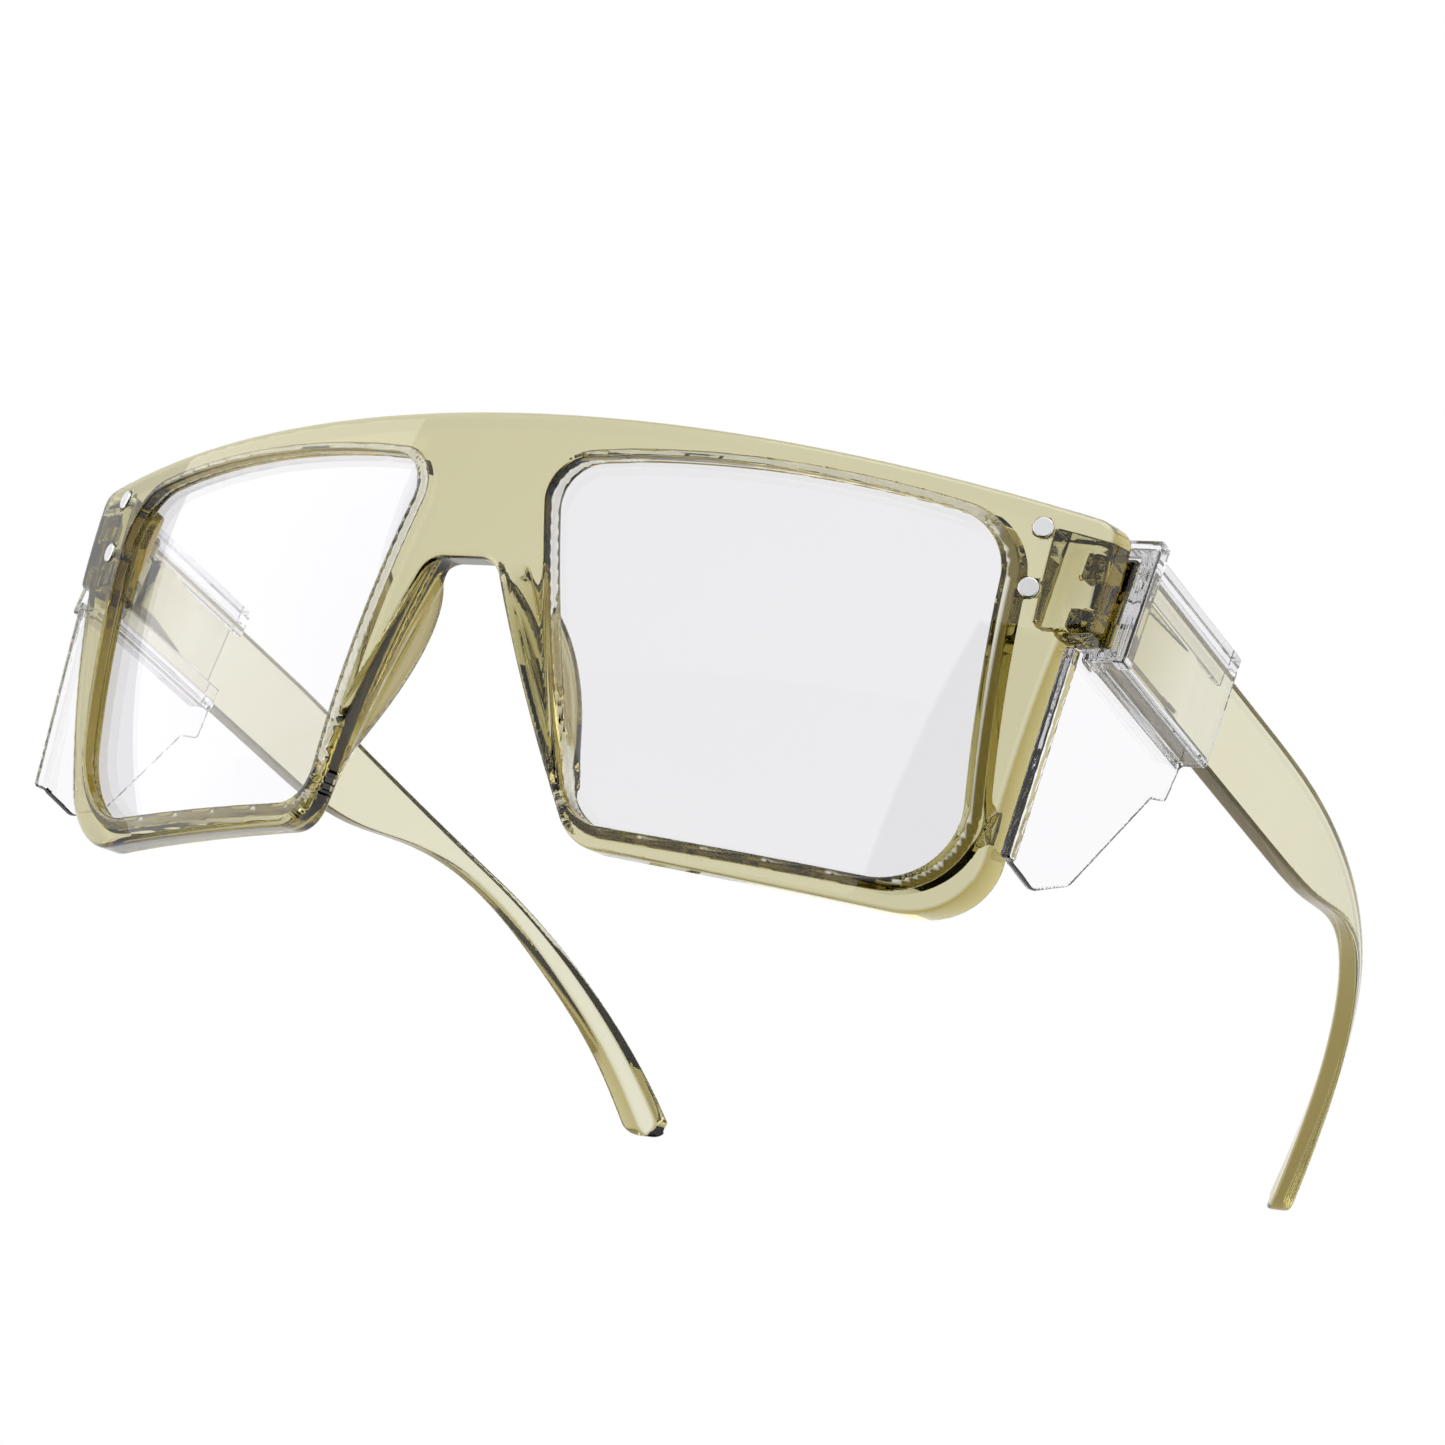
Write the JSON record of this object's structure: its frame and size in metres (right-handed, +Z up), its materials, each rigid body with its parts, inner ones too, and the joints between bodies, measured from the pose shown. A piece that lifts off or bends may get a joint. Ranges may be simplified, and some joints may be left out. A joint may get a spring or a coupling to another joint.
{
  "type": "safety glasses",
  "caption": "Clear safety glasses with a flat brow line, wrapped lenses, folding temples and clear side shields that slide along the temples.",
  "frame": {"origin": "crest of the arch under the bridge, in the middle of the front's width, where the glasses sit on the nose", "axes": "+X to the wearer's left, +Y backwards along the temples, +Z up, with the temples' top edges level"},
  "size_m": [0.1544, 0.1397, 0.0494],
  "materials": {
    "frame_plastic": "polished transparent olive-khaki plastic",
    "clear_lens": "polished clear polycarbonate",
    "clear_shield": "moulded clear polycarbonate",
    "steel": "bright turned steel"
  },
  "bodies": {
    "front": {"front_frame": "frame_plastic", "lens_left": "clear_lens", "lens_right": "clear_lens", "rivet_upper_left": "steel", "rivet_lower_left": "steel", "rivet_upper_right": "steel", "rivet_lower_right": "steel", "hinge_screw_left": "steel", "hinge_screw_right": "steel"},
    "left_temple": {"temple_left": "frame_plastic"},
    "right_temple": {"temple_right": "frame_plastic"},
    "left_shield": {"side_shield_left": "clear_shield"},
    "right_shield": {"side_shield_right": "clear_shield"}
  },
  "joints": [
    {"name": "left_temple_fold", "type": "hinge", "parent": "front", "child": "left_temple", "pos_m": [0.071, 0.022, 0.00935], "axis": [0, 0, 1], "range_deg": [0, 30]},
    {"name": "right_temple_fold", "type": "hinge", "parent": "front", "child": "right_temple", "pos_m": [-0.071, 0.022, 0.00935], "axis": [0, 0, -1], "range_deg": [0, 25]},
    {"name": "left_shield_slide", "type": "slide", "parent": "left_temple", "child": "left_shield", "axis": [0, 1, 0], "range_m": [0, 0.022]},
    {"name": "right_shield_slide", "type": "slide", "parent": "right_temple", "child": "right_shield", "axis": [0, 1, 0], "range_m": [0, 0.022]}
  ]
}
